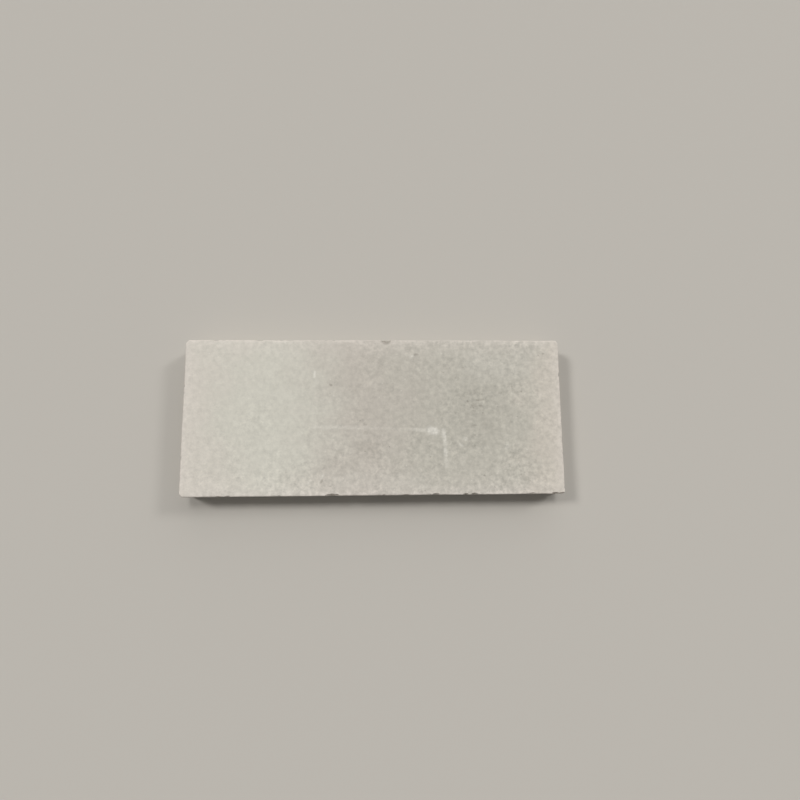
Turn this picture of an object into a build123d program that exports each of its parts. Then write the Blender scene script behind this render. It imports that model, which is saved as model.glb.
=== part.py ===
from build123d import *

import os
from dataclasses import dataclass

# A thin solid brick, pressed and fired as one piece. It lies on its lower bed face.
# Frame: origin at the middle of the lower bed face, +X along the length, +Y from the
# front stretcher face to the back one, +Z up. All sizes are in millimetres.

# Driving dimensions of the block
LENGTH = 230.0
WIDTH = 95.0
THICKNESS = 20.0

# Wear on the edges of the block
CORNER_RADIUS = 1.4  # the four upright edges
ARRIS_RADIUS = 0.8  # the edges around both bed faces

# Ends and sides that damage is measured from, as signs along X and Y
LEFT, RIGHT = -1, 1
FRONT, BACK = -1, 1


@dataclass
class Chip:
    """A shallow scoop broken out of an upper edge."""

    side: int
    end: int
    from_end: float  # from that end of the brick to the middle of the chip
    length: float  # along the edge
    depth: float  # at 45 degrees into the brick, from the unworn edge


@dataclass
class KnockedCorner:
    """An upper corner that is knocked off and leaves a flat scar, which runs this far along its edges."""

    side: int
    end: int
    along_length: float
    along_width: float
    down: float


ARRIS_CHIPS = [
    Chip(FRONT, LEFT, from_end=90.2, length=5.6, depth=1.2),
    Chip(FRONT, LEFT, from_end=120.5, length=2.2, depth=0.7),
    Chip(FRONT, RIGHT, from_end=78.2, length=3.6, depth=1.0),
    Chip(FRONT, RIGHT, from_end=60.1, length=2.6, depth=0.8),
    Chip(FRONT, RIGHT, from_end=55.0, length=3.2, depth=0.9),
    Chip(FRONT, RIGHT, from_end=21.1, length=2.4, depth=0.7),
    Chip(FRONT, RIGHT, from_end=5.9, length=3.6, depth=1.1),
    Chip(BACK, RIGHT, from_end=107.6, length=4.8, depth=1.5),
]
KNOCKED_CORNERS = [
    KnockedCorner(FRONT, LEFT, along_length=2.4, along_width=2.6, down=5.0),
    KnockedCorner(FRONT, RIGHT, along_length=9.0, along_width=1.3, down=4.0),
    KnockedCorner(BACK, RIGHT, along_length=2.0, along_width=2.4, down=4.0),
    KnockedCorner(BACK, LEFT, along_length=2.4, along_width=2.4, down=5.0),
]


def make_block():
    """The whole block with its worn edges, standing on Z = 0."""
    block = Pos(0, 0, THICKNESS / 2) * Box(LENGTH, WIDTH, THICKNESS)
    block = fillet(block.edges().filter_by(Axis.Z), CORNER_RADIUS)
    bed_edges = block.faces().sort_by(Axis.Z)[0].edges() + block.faces().sort_by(Axis.Z)[-1].edges()
    return fillet(bed_edges, ARRIS_RADIUS)


def make_scoop(chip):
    """The ball that leaves the chip's scar."""
    radius = (chip.length**2 / 4 + chip.depth**2) / (2 * chip.depth)
    edge_point = Vector(chip.end * (LENGTH / 2 - chip.from_end), chip.side * WIDTH / 2, THICKNESS)
    outward = Vector(0, chip.side, 1).normalized()
    return Pos(edge_point + outward * (radius - chip.depth)) * Sphere(radius)


def make_corner_piece(corner):
    """The block that is lost with a corner: everything on the far side of its scar."""
    tip = Vector(corner.end * LENGTH / 2, corner.side * WIDTH / 2, THICKNESS)
    scar_start = tip - Vector(corner.end * corner.along_length, 0, 0)
    outward = Vector(corner.end / corner.along_length, corner.side / corner.along_width, 1 / corner.down)
    reach = 2 * (corner.along_length + corner.along_width + corner.down)
    lost_block = Box(reach, reach, reach, align=(Align.CENTER, Align.CENTER, Align.MIN))
    return Plane(origin=scar_start, z_dir=outward) * lost_block


def make_brick():
    """The block with all its damage taken out of it."""
    brick = make_block()
    for corner in KNOCKED_CORNERS:
        brick -= make_corner_piece(corner)
    for chip in ARRIS_CHIPS:
        brick -= make_scoop(chip)
    return brick


os.makedirs("parts", exist_ok=True)
brick = make_brick()
export_step(brick, "parts/brick.step")
print("brick", round(brick.volume), "cubic mm, size", brick.bounding_box().size)
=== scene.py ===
import math
import random
from dataclasses import dataclass

import bmesh
import bpy
from bpy.props import FloatProperty, FloatVectorProperty, IntProperty, PointerProperty
from mathutils import Matrix, Vector, noise
from mathutils.kdtree import KDTree


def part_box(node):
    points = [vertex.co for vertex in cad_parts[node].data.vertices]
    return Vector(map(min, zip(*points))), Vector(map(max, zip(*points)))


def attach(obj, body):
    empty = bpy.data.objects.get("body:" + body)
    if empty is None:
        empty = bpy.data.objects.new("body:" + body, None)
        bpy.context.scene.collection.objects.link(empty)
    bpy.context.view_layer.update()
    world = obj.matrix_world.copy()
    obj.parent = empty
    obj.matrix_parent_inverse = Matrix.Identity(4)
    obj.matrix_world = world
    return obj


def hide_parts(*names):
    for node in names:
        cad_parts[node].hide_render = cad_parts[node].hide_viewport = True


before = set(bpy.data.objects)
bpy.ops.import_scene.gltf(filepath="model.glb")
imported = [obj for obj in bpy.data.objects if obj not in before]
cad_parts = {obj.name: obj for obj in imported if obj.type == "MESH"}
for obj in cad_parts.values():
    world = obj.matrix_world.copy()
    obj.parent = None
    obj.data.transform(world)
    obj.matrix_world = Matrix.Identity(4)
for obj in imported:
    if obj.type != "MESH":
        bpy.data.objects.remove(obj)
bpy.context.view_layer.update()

bl_info = {
    "name": "Worn thin brick",
    "version": (1, 0, 0),
    "blender": (4, 5, 0),
    "location": "3D View > Sidebar > Brick",
    "description": "Models a worn, pale thin brick in the space of its solid, on a plain stage",
    "category": "Add Mesh",
}

# The brick's own frame: +X along its length, +Y to its back face, +Z up from the bed it lies on.
MM = 0.001
BRICK_NODE = "brick"
BODY = "root"
LOW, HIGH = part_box(BRICK_NODE)
SIZE = HIGH - LOW

# Ends and sides that damage is measured from, as signs along X and Y
LEFT, RIGHT = -1, 1
FRONT, BACK = -1, 1
# How far the scars of chips, corners and nicks are darkened, from 0 to 1: painted shade in their hollows
SCAR_SHADE = 0.08
# A scar on an edge of a bed face runs this many times further down the upright face than into the bed
SCAR_FALL = 3.0


@dataclass
class Chip:
    """A shallow scoop broken out of an upper edge. Sizes are in millimetres, as in the solid."""

    side: int
    end: int
    from_end: float  # from that end of the brick to the middle of the chip
    length: float  # along the edge
    depth: float  # at 45 degrees into the brick, from the unworn edge
    shade_and_dirt: float = SCAR_SHADE
    fall: float = SCAR_FALL


@dataclass
class KnockedCorner:
    """An upper corner that is knocked off and leaves a scar, which runs this far along its edges."""

    side: int
    end: int
    along_length: float
    along_width: float
    down: float


@dataclass
class Stroke:
    """A mark on the upper face, from one point to another, in millimetres from the face's middle."""

    start: tuple
    end: tuple
    width: float
    strength: float


CHIPS = [
    Chip(FRONT, LEFT, from_end=90.2, length=5.6, depth=1.2),
    Chip(FRONT, LEFT, from_end=120.5, length=2.2, depth=0.7),
    Chip(FRONT, RIGHT, from_end=78.2, length=3.6, depth=1.0),
    Chip(FRONT, RIGHT, from_end=60.1, length=2.6, depth=0.8),
    Chip(FRONT, RIGHT, from_end=55.0, length=3.2, depth=0.9),
    Chip(FRONT, RIGHT, from_end=21.1, length=2.4, depth=0.7),
    Chip(FRONT, RIGHT, from_end=5.9, length=3.6, depth=1.1),
    # The chip of the back edge is painted much darker than the others
    Chip(BACK, RIGHT, from_end=107.6, length=4.8, depth=1.5, shade_and_dirt=0.8, fall=1.4),
]
KNOCKED_CORNERS = [
    KnockedCorner(FRONT, LEFT, along_length=2.4, along_width=2.6, down=5.0),
    KnockedCorner(FRONT, RIGHT, along_length=9.0, along_width=1.3, down=4.0),
    KnockedCorner(BACK, RIGHT, along_length=2.0, along_width=2.4, down=4.0),
    KnockedCorner(BACK, LEFT, along_length=2.4, along_width=2.4, down=5.0),
]

# Whitish rubs: one long faint line that ends in a smear, a streak that turns off from it, and specks
SCUFFS = [
    Stroke((-37.0, -6.3), (-9.0, -6.9), width=3.4, strength=0.20),
    Stroke((-9.0, -6.9), (24.0, -8.1), width=2.8, strength=0.11),
    Stroke((24.0, -8.1), (31.0, -8.7), width=3.4, strength=0.28),
    Stroke((33.8, -8.5), (37.2, -9.4), width=7.0, strength=0.68),
    Stroke((42.0, -8.6), (42.2, -12.2), width=4.0, strength=0.44),
    Stroke((42.2, -12.2), (42.9, -17.4), width=4.0, strength=0.32),
    Stroke((42.9, -17.4), (42.8, -20.4), width=3.6, strength=0.22),
    Stroke((42.8, -20.4), (43.0, -23.6), width=4.0, strength=0.52),
    Stroke((43.0, -23.6), (43.3, -30.0), width=3.8, strength=0.18),
    Stroke((-36.5, 24.6), (-36.5, 27.6), width=2.4, strength=0.54),
    Stroke((-39.7, -40.0), (-37.9, -38.2), width=2.2, strength=0.30),
    Stroke((-31.3, -36.8), (-30.5, -35.0), width=2.4, strength=0.34),
    Stroke((54.6, -13.9), (55.8, -14.1), width=3.4, strength=0.34),
    Stroke((52.0, -17.3), (53.2, -17.9), width=3.2, strength=0.30),
    Stroke((22.4, 36.5), (23.5, 37.1), width=3.0, strength=0.34),
    Stroke((79.8, -19.8), (80.7, -18.2), width=3.0, strength=0.28),
]
# Small dark pits that show by themselves, the first a dark patch beside the chip of the back edge
PITS = [
    Stroke((6.0, 46.6), (8.0, 46.0), width=5.0, strength=0.50),
    Stroke((-26.8, 19.7), (-26.0, 19.3), width=2.2, strength=0.50),
    Stroke((-31.6, -39.5), (-31.2, -38.3), width=2.2, strength=0.45),
    Stroke((25.4, 37.9), (26.6, 38.2), width=2.2, strength=0.40),
    Stroke((64.9, 14.2), (66.1, 13.4), width=2.6, strength=0.24),
    Stroke((63.2, 9.6), (66.2, 10.0), width=2.4, strength=0.32),
    Stroke((60.3, 6.5), (61.9, 6.3), width=2.6, strength=0.26),
    Stroke((64.8, 6.1), (66.2, 5.9), width=2.4, strength=0.24),
    Stroke((60.2, 2.8), (61.6, 2.6), width=2.4, strength=0.20),
    Stroke((60.2, -5.8), (61.6, -6.0), width=2.6, strength=0.24),
    Stroke((67.2, -4.6), (68.2, -5.8), width=2.6, strength=0.20),
    Stroke((74.4, 18.2), (75.6, 17.8), width=2.4, strength=0.22),
    Stroke((76.7, 14.3), (77.7, 14.1), width=2.4, strength=0.22),
    Stroke((50.7, 23.5), (51.7, 22.9), width=2.6, strength=0.20),
    Stroke((49.6, 1.6), (50.8, 1.4), width=2.4, strength=0.18),
    Stroke((-6.6, -4.7), (-5.2, -4.9), width=2.2, strength=0.26),
    Stroke((-6.2, -10.1), (-4.6, -10.4), width=2.4, strength=0.28),
]
# Soft dark blotches in the clay, and soft pale areas
BLOTCHES = [
    Stroke((-6.0, -19.0), (-2.0, -20.0), width=15.0, strength=0.15),
    Stroke((62.0, 14.0), (66.0, -6.0), width=40.0, strength=0.08),
    Stroke((101.0, -12.0), (105.0, -26.0), width=24.0, strength=0.06),
]
PALE_AREAS = [
    Stroke((64.0, 31.0), (90.0, 32.0), width=30.0, strength=0.09),
    Stroke((-22.0, -38.0), (28.0, -39.0), width=16.0, strength=0.08),
]


class BrickShape(bpy.types.PropertyGroup):
    """Wear on the brick's shape. Its overall size comes from the solid."""

    arris_radius: FloatProperty(
        name="Arris radius", description="Mean rounding of the edges around both bed faces",
        default=0.8 * MM, min=0.2 * MM, max=4 * MM, precision=5, unit="LENGTH",
    )
    corner_radius: FloatProperty(
        name="Corner radius", description="Mean rounding of the four upright edges",
        default=1.4 * MM, min=0.2 * MM, max=6 * MM, precision=5, unit="LENGTH",
    )
    unevenness: FloatProperty(
        name="Unevenness", description="How far the faces dip below true flat",
        default=0.22 * MM, min=0.0, max=2 * MM, precision=5, unit="LENGTH",
    )
    scar_roughness: FloatProperty(
        name="Scar roughness", description="Height of the broken grain inside chips",
        default=0.50 * MM, min=0.0, max=2 * MM, precision=5, unit="LENGTH",
    )
    arris_wear: FloatProperty(
        name="Arris wear", description="How far the faces fall away unevenly beside their edges",
        default=0.40 * MM, min=0.0, max=3 * MM, precision=5, unit="LENGTH",
    )
    nibble_spacing: FloatProperty(
        name="Nibble spacing", description="Mean distance between the tiny nicks along every edge",
        default=14 * MM, min=2 * MM, max=200 * MM, precision=5, unit="LENGTH",
    )
    seed: IntProperty(name="Seed", description="Picks another pattern of nicks", default=7, min=0)


class BrickFinish(bpy.types.PropertyGroup):
    """Colours and grain of the fired clay."""

    pale_tone: FloatVectorProperty(
        name="Pale tone", description="Clay at the left end", subtype="COLOR",
        default=(0.610, 0.571, 0.503), min=0.0, max=1.0,
    )
    cream_tone: FloatVectorProperty(
        name="Cream tone", description="Clay a quarter of the way along", subtype="COLOR",
        default=(0.596, 0.576, 0.501), min=0.0, max=1.0,
    )
    middle_tone: FloatVectorProperty(
        name="Middle tone", description="Clay in the middle of the length", subtype="COLOR",
        default=(0.503, 0.465, 0.407), min=0.0, max=1.0,
    )
    shaded_tone: FloatVectorProperty(
        name="Shaded tone", description="Clay at the darkest part, three quarters along", subtype="COLOR",
        default=(0.478, 0.454, 0.392), min=0.0, max=1.0,
    )
    end_tone: FloatVectorProperty(
        name="End tone", description="Clay at the right end", subtype="COLOR",
        default=(0.558, 0.515, 0.445), min=0.0, max=1.0,
    )
    worn_tone: FloatVectorProperty(
        name="Worn tone", description="Rubbed clay along the arrises", subtype="COLOR",
        default=(0.700, 0.640, 0.580), min=0.0, max=1.0,
    )
    # Colour painted into the scars as painted shade in their hollows; the chip of the back edge takes much more
    # of it
    scar_tone: FloatVectorProperty(
        name="Scar tone", description="Dirt in the scars of chips", subtype="COLOR",
        default=(0.300, 0.275, 0.235), min=0.0, max=1.0,
    )
    scuff_tone: FloatVectorProperty(
        name="Scuff tone", description="Whitish rubs on the upper face", subtype="COLOR",
        default=(0.800, 0.770, 0.700), min=0.0, max=1.0,
    )
    pore_tone: FloatVectorProperty(
        name="Pore tone", description="Inside of pores and pits", subtype="COLOR",
        default=(0.250, 0.225, 0.190), min=0.0, max=1.0,
    )
    grain_size: FloatProperty(
        name="Grain size", description="Size of a sand grain in the surface",
        default=0.9 * MM, min=0.1 * MM, max=10 * MM, precision=5, unit="LENGTH",
    )
    grain_relief: FloatProperty(
        name="Grain relief", description="Height of the sand grain",
        default=0.10 * MM, min=0.0, max=2 * MM, precision=5, unit="LENGTH",
    )


class StageSettings(bpy.types.PropertyGroup):
    """The floor, the lights and the camera."""

    floor_colour: FloatVectorProperty(
        name="Floor", description="Plain pale floor", subtype="COLOR",
        default=(0.505, 0.477, 0.432), min=0.0, max=1.0,
    )
    ceiling_strength: FloatProperty(
        name="Ceiling", description="Light from overhead, a little behind the brick", default=0.62, min=0.0,
    )
    left_lamp_strength: FloatProperty(
        name="Left lamp", description="Light from high on the left", default=1.15, min=0.0,
    )
    right_lamp_strength: FloatProperty(
        name="Right lamp", description="Weaker light from the back right", default=0.65, min=0.0,
    )
    window_strength: FloatProperty(
        name="Window", description="Broad light from behind", default=0.80, min=0.0,
    )
    fill_strength: FloatProperty(
        name="Fill", description="Even light from all round", default=0.22, min=0.0,
    )
    lens: FloatProperty(
        name="Lens", description="Focal length on a 36 mm sensor",
        default=25.2, min=10.0, subtype="DISTANCE_CAMERA",
    )


# Shape of the brick

# Cells of the surface net along X, Y and Z
CELLS = (300, 116, 30)
# The net's lines are denser by these amounts near the edges, where that fades over this distance, and at a chip
EDGE_REACH = 2.5 * MM
EDGE_CROWDING = (1.5, 5.4, 4.5)
CHIP_CROWDING = 1.2
# Steps in which the density is added up along an axis
DENSITY_STEPS = 4000
# An edge of the mesh is shaded crisp where its faces turn by this angle or more
SHARP_ANGLE = math.radians(38)
# Uneven rounding of the edges: lengths of its two waves, how far each changes the mean, and the least of it
SLOW_WEAR, QUICK_WEAR = 15 * MM, 3.2 * MM
SLOW_WEAR_SHARE, QUICK_WEAR_SHARE, LEAST_WEAR = 0.5, 0.35, 0.45
# Further from a bed face than this many arris radii, the rounding is that of the upright edges
UPRIGHT_START = 3
# Uneven faces: lengths of their two waves, the mean dip, and how far each wave changes it
SLOW_FACE, QUICK_FACE = 38 * MM, 6 * MM
MEAN_DIP, SLOW_DIP, QUICK_DIP = 0.5, 0.4, 0.1
# Share of the dips that the upright faces have
UPRIGHT_DIP = 0.3
# Faces fall away beside their edges in waves of this length, over this distance
ARRIS_WAVE, ARRIS_REACH = 6 * MM, 2.2 * MM
# Steps aside in the noise, so that no two patterns are alike
SLOW_FACE_SHIFT = Vector((3.1, 0.0, 0.0))
QUICK_FACE_SHIFT = Vector((0.0, 5.7, 0.0))
ARRIS_SHIFT = Vector((0.0, 0.0, 8.3))
# Broken grain in a scar: its fine size, shares of the coarse and the fine, and its height by the scar's depth
SCAR_GRAIN = 1.0 * MM
COARSE_SCAR_SHARE, FINE_SCAR_SHARE = 0.6, 0.4
SCAR_GRAIN_DEPTH = 0.6
# A knocked corner's scar: the depth of its hollow, the share of hollow and broken grain that it keeps,
# and how far out its points are looked for, by its longest run
SCAR_HOLLOW = 0.35 * MM
CORNER_SHARE = 0.5
CORNER_SEARCH = 1.1
# The rub along an edge: a strong part close to it, and a faint part that reaches far into the face
RUB_REACH, FAINT_RUB_REACH = 3.6 * MM, 13 * MM
FAINT_RUB_SHARE = 0.34
# Tiny nicks along the edges: their lengths, and their depths as shares of the length
NIBBLE_LENGTHS = (1.4 * MM, 3.6 * MM)
NIBBLE_DEPTH_SHARES = (0.20, 0.32)
# Flakes that make up a chip or a nick: how many, how far along it, how long and deep beside it, how deep at
# most for their own length, and how far they lean
CHIP_FLAKES, NIBBLE_FLAKES = 5, 2
FLAKE_SPREAD = 0.40
FLAKE_LENGTH_SHARES = (0.45, 0.85)
FLAKE_DEPTH_SHARES = (0.55, 1.0)
FLAKE_DEPTH_LIMIT = 0.4
FLAKE_LEAN = 0.45
# The painted shade in a scar is at its full strength where the scar is this deep
SHADE_AND_DIRT_DEPTH = 0.3 * MM


def chip_place(chip):
    """The point of the unworn edge at the middle of a chip."""
    x = chip.end * (SIZE.x / 2 - chip.from_end * MM)
    return Vector((x, chip.side * SIZE.y / 2, HIGH.z))


def net_lines(axis):
    """Places of the net's lines along one axis, closer together near both ends and near the chips."""
    low, high = LOW[axis], HIGH[axis]
    chips = CHIPS if axis == 0 else []
    step = (high - low) / DENSITY_STEPS
    total = 0.0
    sums = [0.0]
    for index in range(DENSITY_STEPS):
        place = low + (index + 0.5) * step
        density = 1.0
        for end in (low, high):
            density += EDGE_CROWDING[axis] * math.exp(-abs(place - end) / EDGE_REACH)
        for chip in chips:
            offset = (place - chip_place(chip).x) / (chip.length * MM)
            density += CHIP_CROWDING * math.exp(-offset * offset)
        total += density
        sums.append(total)
    lines = []
    index = 0
    for line in range(CELLS[axis] + 1):
        wanted = total * line / CELLS[axis]
        while index < DENSITY_STEPS and sums[index + 1] < wanted:
            index += 1
        share = (wanted - sums[index]) / (sums[index + 1] - sums[index]) if index < DENSITY_STEPS else 0.0
        lines.append(low + (index + share) * step)
    return lines


def make_net():
    """A block whose six faces are ruled into cells, with its corners on the solid's box."""
    net = bmesh.new()
    bmesh.ops.create_cube(net, size=1.0)
    for axis in range(3):
        along = [e for e in net.edges if abs((e.verts[0].co - e.verts[1].co)[axis]) > 0.5]
        bmesh.ops.subdivide_edges(net, edges=along, cuts=CELLS[axis] - 1, use_grid_fill=True)
    lines = [net_lines(axis) for axis in range(3)]
    for vert in net.verts:
        vert.co = [lines[axis][round((vert.co[axis] + 0.5) * CELLS[axis])] for axis in range(3)]
    return net


def wear_radius(place, shape):
    """Rounding of the nearest edge at a place: larger on the upright edges, and uneven along all of them."""
    from_bed = min(place.z - LOW.z, HIGH.z - place.z)
    upright = min(from_bed / (UPRIGHT_START * shape.arris_radius), 1.0)
    mean = shape.arris_radius + (shape.corner_radius - shape.arris_radius) * upright
    slow = noise.noise(place / SLOW_WEAR)
    quick = noise.noise(place / QUICK_WEAR)
    return mean * max(LEAST_WEAR, 1.0 + SLOW_WEAR_SHARE * slow + QUICK_WEAR_SHARE * quick)


def face_dip(place, shape):
    """How far a face lies below true flat at a place."""
    slow = noise.noise(place / SLOW_FACE + SLOW_FACE_SHIFT)
    quick = noise.noise(place / QUICK_FACE + QUICK_FACE_SHIFT)
    return shape.unevenness * (MEAN_DIP + SLOW_DIP * slow + QUICK_DIP * quick)


def arris_fall(place, gap, shape):
    """How far a face falls away beside its edge, at that distance from the edge."""
    wave = noise.noise(place / ARRIS_WAVE + ARRIS_SHIFT)
    return shape.arris_wear * (0.5 + 0.5 * wave) * math.exp(-gap / ARRIS_REACH)


def edge_rub(gap):
    """How rubbed a face is at that distance from its edge, from 0 to 1."""
    near = math.exp(-gap / RUB_REACH)
    far = math.exp(-gap / FAINT_RUB_REACH)
    return (1.0 - FAINT_RUB_SHARE) * near + FAINT_RUB_SHARE * far


def wear_surface(net, shape):
    """Rounds the edges and dips the faces, and notes how near each point is to an edge."""
    wear = net.verts.layers.float.new("wear")
    for vert in net.verts:
        place = vert.co.copy()
        gaps = sorted(min(place[a] - LOW[a], HIGH[a] - place[a]) for a in range(3))
        vert[wear] = edge_rub(gaps[1])
        radius = wear_radius(place, shape)
        core = Vector([min(max(place[a], LOW[a] + radius), HIGH[a] - radius) for a in range(3)])
        outward = (place - core).normalized()
        dip = max(face_dip(place, shape), 0.0) + arris_fall(place, gaps[1], shape)
        dip *= UPRIGHT_DIP + (1.0 - UPRIGHT_DIP) * abs(outward.z)
        vert.co = core + outward * (radius - dip)


@dataclass
class Carver:
    """Breaks pieces out of a net of points, and notes how dark the scar is painted at each point that it moves,
    as painted shade in its hollow.
    """

    net: bmesh.types.BMesh
    shape: BrickShape
    draw: random.Random

    def __post_init__(self):
        """Notes where every point lies before the first piece is broken out."""
        self.scar = self.net.verts.layers.float.new("scar")
        self.net.verts.ensure_lookup_table()
        self.net.verts.index_update()
        self.tree = KDTree(len(self.net.verts))
        for vert in self.net.verts:
            self.tree.insert(vert.co, vert.index)
        self.tree.balance()

    def near(self, place, reach):
        """The points that lay within reach of a place before the first piece was broken out."""
        return [self.net.verts[index] for found, index, distance in self.tree.find_range(place, reach)]

    def grain(self, place, depth):
        """Height of the broken grain at a place in a scar of that depth."""
        coarse = noise.noise(place / (2 * SCAR_GRAIN))
        fine = noise.noise(place / SCAR_GRAIN)
        height = min(self.shape.scar_roughness, SCAR_GRAIN_DEPTH * depth)
        return height * (COARSE_SCAR_SHARE * coarse + FINE_SCAR_SHARE * fine)

    def move(self, vert, place, shade_and_dirt):
        """Moves one point to its place on a scar."""
        depth = (place - vert.co).length
        vert.co = place
        # A scar is painted darker the deeper it is: painted shade in the hollow
        vert[self.scar] = max(vert[self.scar], shade_and_dirt * min(depth / SHADE_AND_DIRT_DEPTH, 1.0))

    def scoop(self, edge_point, outward, length, depth, fall, shade_and_dirt):
        """Carves a rough scoop out of an edge: points in a ball, stretched along Z, go to its surface."""
        radius = (length**2 / 4 + depth**2) / (2 * depth)
        stretch = Vector((1.0, 1.0, fall))
        centre = edge_point + outward * (radius - depth) * stretch
        for vert in self.near(centre, fall * (radius + self.shape.scar_roughness)):
            offset = vert.co - centre
            offset.z /= fall
            wanted = radius + self.grain(vert.co, depth)
            if offset.length < wanted:
                self.move(vert, centre + offset.normalized() * wanted * stretch, shade_and_dirt)

    def break_edge(self, edge_point, along, outward, length, depth, flakes, fall, shade_and_dirt):
        """Breaks a piece out of an edge as several flakes, which lean to either side."""
        across = along.cross(outward)
        for flake in range(flakes):
            place = edge_point + along * length * self.draw.uniform(-FLAKE_SPREAD, FLAKE_SPREAD)
            sideways = across * self.draw.uniform(-FLAKE_LEAN, FLAKE_LEAN)
            endways = along * self.draw.uniform(-FLAKE_LEAN, FLAKE_LEAN)
            facing = (outward + sideways + endways).normalized()
            flake_length = length * self.draw.uniform(*FLAKE_LENGTH_SHARES)
            flake_depth = depth * self.draw.uniform(*FLAKE_DEPTH_SHARES)
            flake_depth = min(flake_depth, FLAKE_DEPTH_LIMIT * flake_length)
            self.scoop(place, facing, flake_length, flake_depth, fall, shade_and_dirt)


def carve_chips(carver):
    """The chips that show along the upper edges."""
    along = Vector((1, 0, 0))
    for chip in CHIPS:
        outward = Vector((0, chip.side, 1)).normalized()
        length, depth = chip.length * MM, chip.depth * MM
        carver.scoop(chip_place(chip), outward, length, depth, chip.fall, chip.shade_and_dirt)
        carver.break_edge(chip_place(chip), along, outward, length, depth, CHIP_FLAKES, chip.fall, chip.shade_and_dirt)


def carve_corners(carver):
    """The knocked-off corners, each a rough and slightly hollow scar."""
    for corner in KNOCKED_CORNERS:
        tip = Vector((corner.end * SIZE.x / 2, corner.side * SIZE.y / 2, HIGH.z))
        start = tip - Vector((corner.end * corner.along_length * MM, 0, 0))
        reaches = (corner.along_length, corner.along_width, corner.down)
        outward = Vector((corner.end / reaches[0], corner.side / reaches[1], 1 / reaches[2])).normalized()
        for vert in carver.near(tip, max(reaches) * MM * CORNER_SEARCH):
            beyond = (vert.co - start).dot(outward)
            hollow = min(max(beyond, 0.0), SCAR_HOLLOW)
            limit = CORNER_SHARE * (carver.grain(vert.co, corner.along_width * MM) - hollow)
            if beyond > limit:
                carver.move(vert, vert.co - outward * (beyond - limit), SCAR_SHADE)


def carve_nibbles(carver):
    """Tiny nicks all along the twelve edges."""
    for axis in range(3):
        along = Vector([1.0 if a == axis else 0.0 for a in range(3)])
        across = [a for a in range(3) if a != axis]
        fall = 1.0 if along.z else SCAR_FALL
        for first in (-1, 1):
            for second in (-1, 1):
                outward = Vector((0, 0, 0))
                outward[across[0]] = first
                outward[across[1]] = second
                edge_point = Vector([HIGH[a] if outward[a] > 0 else LOW[a] for a in range(3)])
                for nick in range(round(SIZE[axis] / carver.shape.nibble_spacing)):
                    edge_point[axis] = carver.draw.uniform(LOW[axis], HIGH[axis])
                    length = carver.draw.uniform(*NIBBLE_LENGTHS)
                    depth = length * carver.draw.uniform(*NIBBLE_DEPTH_SHARES)
                    carver.break_edge(edge_point, along, outward.normalized(), length, depth,
                                      NIBBLE_FLAKES, fall, SCAR_SHADE)


def make_brick_mesh(shape):
    """The worn brick as a mesh, in place."""
    net = make_net()
    wear_surface(net, shape)
    carver = Carver(net, shape, random.Random(shape.seed))
    carve_corners(carver)
    carve_chips(carver)
    carve_nibbles(carver)
    bmesh.ops.recalc_face_normals(net, faces=net.faces)
    for face in net.faces:
        face.smooth = True
    for edge in net.edges:
        edge.smooth = edge.calc_face_angle(0.0) < SHARP_ANGLE
    mesh = bpy.data.meshes.new("worn_brick")
    net.to_mesh(mesh)
    net.free()
    return mesh


# Finish of the clay

# Share of the length where each tone of the clay is at its purest
TONE_STOPS = (
    (0.00, "pale_tone"), (0.22, "cream_tone"), (0.47, "middle_tone"),
    (0.72, "shaded_tone"), (0.87, "shaded_tone"), (1.00, "end_tone"),
)
# The tones' boundaries drift by this share of the length, in clouds of this size
TONE_DRIFT = 0.08
CLOUD_SIZE = 34 * MM
CLOUD_RANGE = (0.25, 0.75)
# Most of a noise pattern lies between these values
NOISE_LOW, NOISE_HIGH = 0.3, 0.7
# The grain grows from the back left to the front right, and is weaker again at the right end
SMOOTH_GRAIN = 0.40
GRAIN_SLANT = 1.2
FULL_GRAIN_AT = 0.7
RIGHT_END_FROM, RIGHT_END_GRAIN = 0.75, 0.58
# It also changes in patches of this size, by these gains
GRAIN_PATCH = 13 * MM
PATCH_GAINS = (0.6, 1.4)
# Sizes of the sand and the mottle in grain sizes, and how far grain and mottle change the tone
SAND_SIZE, MOTTLE_SIZE = 0.4, 3
GRAIN_TONE, MOTTLE_TONE = 0.24, 0.74
# Shares of grain, sand and mottle in the relief
GRAIN_RELIEF_SHARE, SAND_RELIEF_SHARE, MOTTLE_RELIEF_SHARE = 0.85, 0.6, 0.5
# How far the edges are rubbed, and how the mottle breaks that up
EDGE_FADE = 0.70
RUB_PATCHES = (0.6, 1.0)
# How the grain breaks up the painted shade in scars
SHADE_AND_DIRT_GRAIN = (0.35, 0.65)
SHADE_AND_DIRT_PATCHES = (0.7, 1.0)
# Pores: one in each cell, of which none shows at the low strength of grain and the full share at the high one
PORE_CELL = 3.0 * MM
PORE_RADIUS = 0.95 * MM
PORE_GRAIN = (0.6, 1.4)
PORE_SHARE = 0.55
PORE_STRENGTH = 0.26
PORE_RELIEF = 0.18 * MM
# Light grains: one in each cell, of which this share shows
LIGHT_GRAIN_CELL = 2.3 * MM
LIGHT_GRAIN_RADIUS = 0.60 * MM
LIGHT_GRAIN_SHARE = 0.35
LIGHT_GRAIN_STRENGTH = 0.32
# Specks: how far their edges are moved about, the share of the radius over which they fade in, the least
# one's share of the full size, and how strongly small ones outnumber large ones
SPECK_SHAKE = 0.8 * MM
SPECK_EDGE = 0.6
LEAST_SPECK = 0.35
SPECK_SKEW = 3.0
# A mark fades in from its rim over this share of its half width
STROKE_EDGE = 0.8
# Ragged edges of soft areas, pits and scuffs: size of the noise that moves them, and how far
AREA_SHAKE = (9 * MM, 8 * MM)
PIT_SHAKE = (3 * MM, 2.4 * MM)
SCUFF_SHAKE = (3 * MM, 1.3 * MM)
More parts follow.
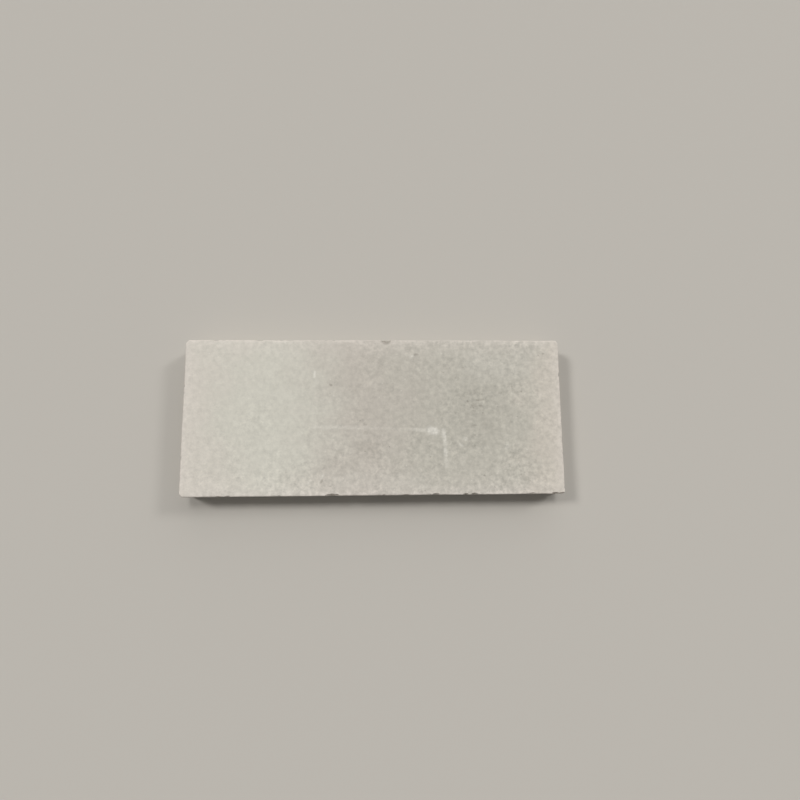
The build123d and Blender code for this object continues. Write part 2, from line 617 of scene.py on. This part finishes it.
# Scuffs are broken up by noise of this size
SCUFF_GRAIN = 1.8 * MM
SCUFF_GRAIN_RANGE = (0.34, 0.62)
SCUFF_PATCHES = (0.6, 1.0)
# Surface of the clay under light
CLAY_ROUGHNESS = (0.84, 0.97)
CLAY_SPECULAR = 0.35
# Marks of the upper face begin to fade this far below it, and are gone at twice that
UPPER_FACE_SKIN = 1.0 * MM


def add_node(tree, kind, sockets, **settings):
    """Adds one node. sockets maps an input's name or number to a value or to another node's output."""
    node = tree.nodes.new(kind)
    for name, value in settings.items():
        setattr(node, name, value)
    for key, value in sockets.items():
        if isinstance(value, bpy.types.NodeSocket):
            tree.links.new(value, node.inputs[key])
        else:
            node.inputs[key].default_value = value
    return node


def compute(tree, operation, first, second=0.0, clamp=False):
    """One sum on two numbers."""
    sockets = {0: first, 1: second}
    return add_node(tree, "ShaderNodeMath", sockets, operation=operation, use_clamp=clamp).outputs[0]


def vector_sum(tree, operation, first, second):
    """One sum on two vectors, as a Vector Math node."""
    return add_node(tree, "ShaderNodeVectorMath", {0: first, 1: second}, operation=operation)


def remap(tree, value, start, end, low=0.0, high=1.0, steps="SMOOTHSTEP"):
    """Takes start to low and end to high, and holds both beyond that."""
    sockets = {"Value": value, "From Min": start, "From Max": end, "To Min": low, "To Max": high}
    node = add_node(tree, "ShaderNodeMapRange", sockets, interpolation_type=steps, clamp=True)
    return node.outputs["Result"]


def mix_tone(tree, share, first, second, blend="MIX"):
    """Mixes two colours by a share."""
    first = first if isinstance(first, bpy.types.NodeSocket) else (*first, 1.0)
    second = second if isinstance(second, bpy.types.NodeSocket) else (*second, 1.0)
    mix = add_node(tree, "ShaderNodeMix", {0: share, 6: first, 7: second}, data_type="RGBA", blend_type=blend)
    return mix.outputs[2]


def noise_at(tree, place, size, detail=2.0, roughness=0.5):
    """Noise from 0 to 1 whose patches are about that size."""
    sockets = {"Vector": place, "Scale": 1.0 / size, "Detail": detail, "Roughness": roughness}
    return add_node(tree, "ShaderNodeTexNoise", sockets).outputs["Fac"]


def shaken(tree, place, size, reach):
    """Places moved about by noise whose patches are about that size."""
    shake = add_node(tree, "ShaderNodeTexNoise", {"Vector": place, "Scale": 1.0 / size, "Detail": 2.0})
    shift = vector_sum(tree, "SUBTRACT", shake.outputs["Color"], (0.5, 0.5, 0.5)).outputs["Vector"]
    moved = add_node(tree, "ShaderNodeVectorMath", {0: shift, "Scale": reach}, operation="SCALE")
    return vector_sum(tree, "ADD", place, moved.outputs["Vector"]).outputs["Vector"]


def specks(tree, place, cell, radius, share):
    """A mask of uneven specks, one in each cell, of which only a share shows. Most are small."""
    rough = shaken(tree, place, radius, SPECK_SHAKE)
    cells = add_node(tree, "ShaderNodeTexVoronoi", {"Vector": rough, "Scale": 1.0 / cell, "Randomness": 1.0})
    picked = add_node(tree, "ShaderNodeSeparateColor", {"Color": cells.outputs["Color"]})
    shown = compute(tree, "LESS_THAN", picked.outputs["Red"], share)
    mostly_small = compute(tree, "POWER", picked.outputs["Green"], SPECK_SKEW)
    size = remap(tree, mostly_small, 0.0, 1.0, LEAST_SPECK * radius / cell, radius / cell, "LINEAR")
    outward = compute(tree, "DIVIDE", cells.outputs["Distance"], size)
    inside = compute(tree, "SUBTRACT", 1.0, outward, clamp=True)
    return compute(tree, "MULTIPLY", remap(tree, inside, 0.0, SPECK_EDGE), shown)


def make_stroke_group():
    """A node group that gives the mask of one stroke from its start, end, half width and strength."""
    group = bpy.data.node_groups.new("brick_stroke", "ShaderNodeTree")
    for name in ("Place", "Start", "End"):
        group.interface.new_socket(name, in_out="INPUT", socket_type="NodeSocketVector")
    for name in ("Half width", "Strength"):
        group.interface.new_socket(name, in_out="INPUT", socket_type="NodeSocketFloat")
    group.interface.new_socket("Mask", in_out="OUTPUT", socket_type="NodeSocketFloat")
    given = group.nodes.new("NodeGroupInput").outputs
    along = vector_sum(group, "SUBTRACT", given["End"], given["Start"]).outputs["Vector"]
    offset = vector_sum(group, "SUBTRACT", given["Place"], given["Start"]).outputs["Vector"]
    reach = vector_sum(group, "DOT_PRODUCT", offset, along).outputs["Value"]
    whole = vector_sum(group, "DOT_PRODUCT", along, along).outputs["Value"]
    share = compute(group, "DIVIDE", reach, whole, clamp=True)
    nearest = add_node(group, "ShaderNodeVectorMath", {0: along, "Scale": share}, operation="SCALE")
    gap = vector_sum(group, "DISTANCE", offset, nearest.outputs["Vector"]).outputs["Value"]
    near = compute(group, "SUBTRACT", 1.0, compute(group, "DIVIDE", gap, given["Half width"]), clamp=True)
    mask = compute(group, "MULTIPLY", remap(group, near, 0.0, STROKE_EDGE), given["Strength"])
    leaving = group.nodes.new("NodeGroupOutput")
    group.links.new(mask, leaving.inputs["Mask"])
    return group


def strokes(tree, group, place, marks):
    """The mask of several strokes together, seen from above."""
    flat = vector_sum(tree, "MULTIPLY", place, (1.0, 1.0, 0.0)).outputs["Vector"]
    total = 0.0
    for mark in marks:
        stroke = add_node(tree, "ShaderNodeGroup", {}, node_tree=group)
        tree.links.new(flat, stroke.inputs["Place"])
        stroke.inputs["Start"].default_value = (mark.start[0] * MM, mark.start[1] * MM, 0.0)
        stroke.inputs["End"].default_value = (mark.end[0] * MM, mark.end[1] * MM, 0.0)
        stroke.inputs["Half width"].default_value = mark.width * MM / 2
        stroke.inputs["Strength"].default_value = mark.strength
        total = compute(tree, "MAXIMUM", stroke.outputs["Mask"], total)
    return total


def tone_along(tree, finish, place, x):
    """The clay's tone along the length, with a drifting boundary between one tone and the next."""
    share = remap(tree, x, LOW.x, HIGH.x, steps="LINEAR")
    cloud = noise_at(tree, place, CLOUD_SIZE, detail=3.0, roughness=0.55)
    drift = remap(tree, cloud, *CLOUD_RANGE, -TONE_DRIFT, TONE_DRIFT, "LINEAR")
    ramp = add_node(tree, "ShaderNodeValToRGB", {"Fac": compute(tree, "ADD", share, drift)})
    stops = ramp.color_ramp.elements
    ramp.color_ramp.interpolation = "EASE"
    while len(stops) < len(TONE_STOPS):
        stops.new(0.5)
    for stop, (position, name) in zip(stops, TONE_STOPS):
        stop.position = position
        stop.color = (*getattr(finish, name), 1.0)
    return ramp.outputs["Color"]


def grain_strength(tree, place, axes):
    """How strong the grain is at a place."""
    x, y = axes.outputs["X"], axes.outputs["Y"]
    forward = compute(tree, "SUBTRACT", x, compute(tree, "MULTIPLY", y, GRAIN_SLANT))
    strength = remap(tree, forward, LOW.x, FULL_GRAIN_AT * HIGH.x, SMOOTH_GRAIN, 1.0, "LINEAR")
    right_end = remap(tree, x, RIGHT_END_FROM * HIGH.x, HIGH.x, 1.0, RIGHT_END_GRAIN)
    strength = compute(tree, "MULTIPLY", strength, right_end)
    patches = remap(tree, noise_at(tree, place, GRAIN_PATCH), NOISE_LOW, NOISE_HIGH, *PATCH_GAINS, "LINEAR")
    return compute(tree, "MULTIPLY", strength, patches)


def make_clay(finish):
    """Pale fired clay: a drifting tone, sandy grain, pores, rubbed edges, and marks on the upper face."""
    material = bpy.data.materials.new("pale_fired_clay")
    material.use_nodes = True
    tree = material.node_tree
    shader = tree.nodes["Principled BSDF"]
    place = add_node(tree, "ShaderNodeTexCoord", {}).outputs["Object"]
    axes = add_node(tree, "ShaderNodeSeparateXYZ", {"Vector": place})
    wear = add_node(tree, "ShaderNodeAttribute", {}, attribute_name="wear").outputs["Fac"]
    scar = add_node(tree, "ShaderNodeAttribute", {}, attribute_name="scar").outputs["Fac"]
    upper = remap(tree, axes.outputs["Z"], HIGH.z - 2 * UPPER_FACE_SKIN, HIGH.z - UPPER_FACE_SKIN)
    coarser = grain_strength(tree, place, axes)

    # Grain in three sizes
    sand = noise_at(tree, place, SAND_SIZE * finish.grain_size, detail=3.0, roughness=0.6)
    grain = noise_at(tree, place, finish.grain_size, detail=4.0, roughness=0.65)
    mottle = noise_at(tree, place, MOTTLE_SIZE * finish.grain_size, detail=3.0, roughness=0.6)
    grain_tone = compute(tree, "MULTIPLY", compute(tree, "SUBTRACT", grain, 0.5), GRAIN_TONE)
    mottle_tone = compute(tree, "MULTIPLY", compute(tree, "SUBTRACT", mottle, 0.5), MOTTLE_TONE)
    tone = compute(tree, "MULTIPLY", compute(tree, "ADD", grain_tone, mottle_tone), coarser)
    gain = compute(tree, "ADD", tone, 1.0)

    # Clay, rubbed lighter along the edges, and painted darker in scars as painted shade
    colour = tone_along(tree, finish, place, axes.outputs["X"])
    rub = compute(tree, "MULTIPLY", wear, remap(tree, mottle, NOISE_LOW, NOISE_HIGH, *RUB_PATCHES))
    colour = mix_tone(tree, compute(tree, "MULTIPLY", rub, EDGE_FADE), colour, finish.worn_tone)
    # Painted shade in the scars, broken up by the grain
    shade_and_dirt = compute(tree, "MULTIPLY", scar, remap(tree, grain, *SHADE_AND_DIRT_GRAIN, *SHADE_AND_DIRT_PATCHES))
    colour = mix_tone(tree, shade_and_dirt, colour, finish.scar_tone)

    # Light grains, pale areas and blotches
    light_grains = specks(tree, place, LIGHT_GRAIN_CELL, LIGHT_GRAIN_RADIUS, LIGHT_GRAIN_SHARE)
    light_grains = compute(tree, "MULTIPLY", light_grains, LIGHT_GRAIN_STRENGTH)
    colour = mix_tone(tree, light_grains, colour, finish.scuff_tone)
    group = make_stroke_group()
    drifting = shaken(tree, place, *AREA_SHAKE)
    pale_areas = compute(tree, "MULTIPLY", strokes(tree, group, drifting, PALE_AREAS), upper)
    colour = mix_tone(tree, pale_areas, colour, finish.scuff_tone)
    blotches = compute(tree, "MULTIPLY", strokes(tree, group, drifting, BLOTCHES), upper)
    colour = mix_tone(tree, blotches, colour, finish.pore_tone)

    # Pores and pits
    pore_share = remap(tree, coarser, *PORE_GRAIN, 0.0, PORE_SHARE, "LINEAR")
    pores = specks(tree, place, PORE_CELL, PORE_RADIUS, pore_share)
    ragged = shaken(tree, place, *PIT_SHAKE)
    pits = compute(tree, "MULTIPLY", strokes(tree, group, ragged, PITS), upper)
    holes = compute(tree, "MAXIMUM", compute(tree, "MULTIPLY", pores, PORE_STRENGTH), pits)
    colour = mix_tone(tree, holes, colour, finish.pore_tone)

    # Scuffs, broken up by the grain
    scuff_grain = noise_at(tree, place, SCUFF_GRAIN, detail=3.0, roughness=0.7)
    patchy = remap(tree, scuff_grain, *SCUFF_GRAIN_RANGE, *SCUFF_PATCHES)
    smeared = shaken(tree, place, *SCUFF_SHAKE)
    scuffs = compute(tree, "MULTIPLY", strokes(tree, group, smeared, SCUFFS), upper)
    colour = mix_tone(tree, compute(tree, "MULTIPLY", scuffs, patchy), colour, finish.scuff_tone)
    shade = add_node(tree, "ShaderNodeCombineColor", {"Red": gain, "Green": gain, "Blue": gain})
    colour = mix_tone(tree, 1.0, colour, shade.outputs["Color"], "MULTIPLY")
    tree.links.new(colour, shader.inputs["Base Color"])

    dull = remap(tree, grain, NOISE_LOW, NOISE_HIGH, *CLAY_ROUGHNESS, "LINEAR")
    tree.links.new(dull, shader.inputs["Roughness"])
    shader.inputs["Specular IOR Level"].default_value = CLAY_SPECULAR

    # Relief of the grain, with the pores and pits sunk in it
    grain_part = compute(tree, "MULTIPLY", grain, GRAIN_RELIEF_SHARE)
    sand_part = compute(tree, "MULTIPLY", sand, SAND_RELIEF_SHARE)
    mottle_part = compute(tree, "MULTIPLY", mottle, MOTTLE_RELIEF_SHARE)
    relief = compute(tree, "ADD", compute(tree, "ADD", grain_part, sand_part), mottle_part)
    relief = compute(tree, "MULTIPLY", relief, finish.grain_relief)
    sunk = compute(tree, "MULTIPLY", compute(tree, "MAXIMUM", pores, pits), PORE_RELIEF)
    height = compute(tree, "SUBTRACT", relief, sunk)
    bump = add_node(tree, "ShaderNodeBump", {"Height": height, "Strength": 1.0, "Distance": 1.0})
    tree.links.new(bump.outputs["Normal"], shader.inputs["Normal"])
    return material


# Stage

FLOOR_SIDE = 60.0
FLOOR_ROUGHNESS, FLOOR_SPECULAR = 0.9, 0.2
# Directions that the lights come from, and how large each looks
CEILING_FROM, CEILING_ANGLE = Vector((0.0, 0.34, 1.0)), math.radians(13)
LEFT_LAMP_FROM, LEFT_LAMP_ANGLE = Vector((-0.74, 0.34, 1.0)), math.radians(12)
RIGHT_LAMP_FROM, RIGHT_LAMP_ANGLE = Vector((1.03, 0.60, 1.0)), math.radians(13)
WINDOW_FROM, WINDOW_ANGLE = Vector((0.45, 1.0, 0.72)), math.radians(76)
# Colour that shows beyond the floor
BACKGROUND = (0.80, 0.79, 0.77)
# The camera stands above the brick's front edge and looks past its middle, with the back edge up
CAMERA_PLACE = Vector((1.5, -39.7, 357.7)) * MM
CAMERA_AIM = Vector((15.6, 9.9, 20.0)) * MM
CAMERA_TWIST = math.radians(-0.51)


def link(piece):
    """Puts an object in the scene."""
    bpy.context.scene.collection.objects.link(piece)
    return piece


def make_floor(settings):
    """A plain pale floor under the brick."""
    net = bmesh.new()
    bmesh.ops.create_grid(net, x_segments=1, y_segments=1, size=FLOOR_SIDE / 2)
    mesh = bpy.data.meshes.new("floor")
    net.to_mesh(mesh)
    net.free()
    material = bpy.data.materials.new("plain_floor")
    material.use_nodes = True
    shader = material.node_tree.nodes["Principled BSDF"]
    shader.inputs["Base Color"].default_value = (*settings.floor_colour, 1.0)
    shader.inputs["Roughness"].default_value = FLOOR_ROUGHNESS
    shader.inputs["Specular IOR Level"].default_value = FLOOR_SPECULAR
    mesh.materials.append(material)
    link(bpy.data.objects.new("floor", mesh))


def make_light(name, came_from, angle, strength):
    """A soft distant light."""
    light = bpy.data.lights.new(name, "SUN")
    light.angle = angle
    light.energy = strength
    lamp = link(bpy.data.objects.new(name, light))
    lamp.rotation_euler = came_from.to_track_quat("Z", "Y").to_euler()


def make_fill(strength):
    """Even light from all round, which the camera sees as a pale background."""
    world = bpy.data.worlds.new("studio")
    world.use_nodes = True
    tree = world.node_tree
    background = tree.nodes["Background"]
    path = add_node(tree, "ShaderNodeLightPath", {})
    seen = compute(tree, "MAXIMUM", path.outputs["Is Camera Ray"], path.outputs["Is Glossy Ray"])
    seen = compute(tree, "MAXIMUM", seen, path.outputs["Is Transmission Ray"])
    tree.links.new(mix_tone(tree, seen, (1.0, 1.0, 1.0), BACKGROUND), background.inputs["Color"])
    tree.links.new(remap(tree, seen, 0.0, 1.0, strength, 1.0, "LINEAR"), background.inputs["Strength"])
    bpy.context.scene.world = world


def make_camera(settings):
    """The camera at the picture's viewing angle."""
    data = bpy.data.cameras.new("camera")
    data.lens = settings.lens
    camera = link(bpy.data.objects.new("camera", data))
    forward = (CAMERA_AIM - CAMERA_PLACE).normalized()
    right = forward.cross(Vector((0, 1, 0))).normalized()
    up = right.cross(forward)
    facing = Matrix((right, up, -forward)).transposed().to_4x4()
    camera.matrix_world = Matrix.Translation(CAMERA_PLACE) @ facing @ Matrix.Rotation(CAMERA_TWIST, 4, "Z")
    bpy.context.scene.camera = camera


class BRICK_OT_make_worn_brick(bpy.types.Operator):
    """Models the worn brick in the place of its solid"""

    bl_idname = "brick.make_worn_brick"
    bl_label = "Make worn brick"

    def execute(self, context):
        mesh = make_brick_mesh(context.scene.brick_shape)
        if not mesh.polygons:
            raise RuntimeError("the brick's mesh came out empty")
        mesh.materials.append(make_clay(context.scene.brick_finish))
        piece = link(bpy.data.objects.new("worn_brick", mesh))
        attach(piece, BODY)
        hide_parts(BRICK_NODE)
        return {"FINISHED"}


class BRICK_OT_lay_stage(bpy.types.Operator):
    """Lays the floor and sets the lights and the camera"""

    bl_idname = "brick.lay_stage"
    bl_label = "Lay stage"

    def execute(self, context):
        settings = context.scene.brick_stage
        make_floor(settings)
        make_light("ceiling", CEILING_FROM, CEILING_ANGLE, settings.ceiling_strength)
        make_light("left_lamp", LEFT_LAMP_FROM, LEFT_LAMP_ANGLE, settings.left_lamp_strength)
        make_light("right_lamp", RIGHT_LAMP_FROM, RIGHT_LAMP_ANGLE, settings.right_lamp_strength)
        make_light("window", WINDOW_FROM, WINDOW_ANGLE, settings.window_strength)
        make_fill(settings.fill_strength)
        make_camera(settings)
        context.scene.view_settings.view_transform = "Standard"
        return {"FINISHED"}


class VIEW3D_PT_worn_brick(bpy.types.Panel):
    """Makes the brick and its stage, and shows their settings"""

    bl_label = "Worn thin brick"
    bl_space_type = "VIEW_3D"
    bl_region_type = "UI"
    bl_category = "Brick"

    def draw(self, context):
        scene = context.scene
        for operator, settings in (
            ("brick.make_worn_brick", (scene.brick_shape, scene.brick_finish)),
            ("brick.lay_stage", (scene.brick_stage,)),
        ):
            self.layout.operator(operator)
            for group in settings:
                for name in group.__annotations__:
                    self.layout.prop(group, name)


CLASSES = (
    BrickShape, BrickFinish, StageSettings,
    BRICK_OT_make_worn_brick, BRICK_OT_lay_stage, VIEW3D_PT_worn_brick,
)
SETTINGS = {"brick_shape": BrickShape, "brick_finish": BrickFinish, "brick_stage": StageSettings}


def register():
    """Adds the classes and their settings to Blender."""
    for cls in CLASSES:
        bpy.utils.register_class(cls)
    for name, group in SETTINGS.items():
        setattr(bpy.types.Scene, name, PointerProperty(type=group))


def unregister():
    """Takes the settings and the classes away again."""
    for name in SETTINGS:
        delattr(bpy.types.Scene, name)
    for cls in reversed(CLASSES):
        bpy.utils.unregister_class(cls)


def main():
    """Makes the brick and its stage."""
    register()
    bpy.ops.brick.make_worn_brick()
    bpy.ops.brick.lay_stage()


if __name__ == "__main__":
    main()
